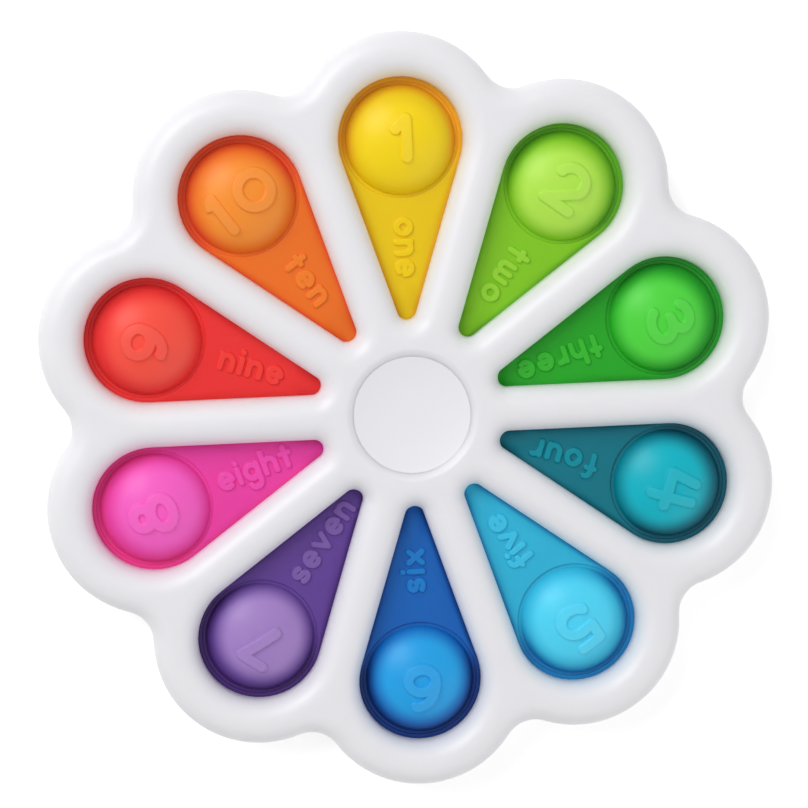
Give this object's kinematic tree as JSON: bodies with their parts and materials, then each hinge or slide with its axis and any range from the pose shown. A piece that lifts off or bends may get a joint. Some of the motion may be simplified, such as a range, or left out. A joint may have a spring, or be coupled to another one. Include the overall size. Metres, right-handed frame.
{
  "type": "game spinner",
  "caption": "Flat flower-shaped hand spinner with a push-through silicone bubble in every lobe, turning on a central ball bearing between two finger caps.",
  "frame": {"origin": "on the spin axis, in the plane that the back face rests on", "axes": "+Z along the spin axis out of the numbered face, +Y through lobe one, lobes counted clockwise seen from the front"},
  "size_m": [0.1234, 0.128, 0.012],
  "materials": {
    "frame_plastic": "white, satin to gloss",
    "cap_plastic": "white, satin",
    "bearing_steel": "ground",
    "ball_steel": "polished",
    "cage_plastic": "moulded nylon",
    "silicone_01": "yellow, matt translucent silicone",
    "silicone_02": "lime, matt translucent silicone",
    "silicone_03": "green, matt translucent silicone",
    "silicone_04": "teal, matt translucent silicone",
    "silicone_05": "sky blue, matt translucent silicone",
    "silicone_06": "blue, matt translucent silicone",
    "silicone_07": "purple, matt translucent silicone",
    "silicone_08": "pink, matt translucent silicone",
    "silicone_09": "red, matt translucent silicone",
    "silicone_10": "orange, matt translucent silicone"
  },
  "bodies": {
    "frame": {"front_shell": "frame_plastic", "back_shell": "frame_plastic", "bearing_outer_ring": "bearing_steel", "bearing_shield_front": "bearing_steel", "bearing_shield_back": "bearing_steel", "insert_01": "silicone_01", "insert_02": "silicone_02", "insert_03": "silicone_03", "insert_04": "silicone_04", "insert_05": "silicone_05", "insert_06": "silicone_06", "insert_07": "silicone_07", "insert_08": "silicone_08", "insert_09": "silicone_09", "insert_10": "silicone_10"},
    "hub": {"bearing_inner_ring": "bearing_steel", "finger_cap_front": "cap_plastic", "finger_cap_back": "cap_plastic"},
    "ball_set": {"bearing_balls": "ball_steel", "bearing_cage": "cage_plastic"},
    "bubble_01": {"dome_crown_01": "silicone_01", "dome_skirt_01": "silicone_01"},
    "bubble_02": {"dome_crown_02": "silicone_02", "dome_skirt_02": "silicone_02"},
    "bubble_03": {"dome_crown_03": "silicone_03", "dome_skirt_03": "silicone_03"},
    "bubble_04": {"dome_crown_04": "silicone_04", "dome_skirt_04": "silicone_04"},
    "bubble_05": {"dome_crown_05": "silicone_05", "dome_skirt_05": "silicone_05"},
    "bubble_06": {"dome_crown_06": "silicone_06", "dome_skirt_06": "silicone_06"},
    "bubble_07": {"dome_crown_07": "silicone_07", "dome_skirt_07": "silicone_07"},
    "bubble_08": {"dome_crown_08": "silicone_08", "dome_skirt_08": "silicone_08"},
    "bubble_09": {"dome_crown_09": "silicone_09", "dome_skirt_09": "silicone_09"},
    "bubble_10": {"dome_crown_10": "silicone_10", "dome_skirt_10": "silicone_10"}
  },
  "joints": [
    {"name": "hub_spin", "type": "hinge", "parent": "frame", "child": "hub", "pos_m": [0, 0, 0.006], "axis": [0, 0, 1], "continuous": true},
    {"name": "ball_set_spin", "type": "hinge", "parent": "frame", "child": "ball_set", "pos_m": [0, 0, 0.006], "axis": [0, 0, 1], "continuous": true},
    {"name": "bubble_pop_01", "type": "slide", "parent": "frame", "child": "bubble_01", "axis": [0, 0, 1], "range_m": [-0.0092, 0], "deforming": ["dome_skirt_01"]},
    {"name": "bubble_pop_02", "type": "slide", "parent": "frame", "child": "bubble_02", "axis": [0, 0, 1], "range_m": [-0.0092, 0], "deforming": ["dome_skirt_02"]},
    {"name": "bubble_pop_03", "type": "slide", "parent": "frame", "child": "bubble_03", "axis": [0, 0, 1], "range_m": [-0.0092, 0], "deforming": ["dome_skirt_03"]},
    {"name": "bubble_pop_04", "type": "slide", "parent": "frame", "child": "bubble_04", "axis": [0, 0, 1], "range_m": [-0.0092, 0], "deforming": ["dome_skirt_04"]},
    {"name": "bubble_pop_05", "type": "slide", "parent": "frame", "child": "bubble_05", "axis": [0, 0, 1], "range_m": [-0.0092, 0], "deforming": ["dome_skirt_05"]},
    {"name": "bubble_pop_06", "type": "slide", "parent": "frame", "child": "bubble_06", "axis": [0, 0, 1], "range_m": [-0.0092, 0], "deforming": ["dome_skirt_06"]},
    {"name": "bubble_pop_07", "type": "slide", "parent": "frame", "child": "bubble_07", "axis": [0, 0, 1], "range_m": [-0.0092, 0], "deforming": ["dome_skirt_07"]},
    {"name": "bubble_pop_08", "type": "slide", "parent": "frame", "child": "bubble_08", "axis": [0, 0, 1], "range_m": [-0.0092, 0], "deforming": ["dome_skirt_08"]},
    {"name": "bubble_pop_09", "type": "slide", "parent": "frame", "child": "bubble_09", "axis": [0, 0, 1], "range_m": [-0.0092, 0], "deforming": ["dome_skirt_09"]},
    {"name": "bubble_pop_10", "type": "slide", "parent": "frame", "child": "bubble_10", "axis": [0, 0, 1], "range_m": [-0.0092, 0], "deforming": ["dome_skirt_10"]}
  ],
  "couplings": [
    {"joint": "ball_set_spin", "follows": "hub_spin", "ratio": 0.3677}
  ]
}
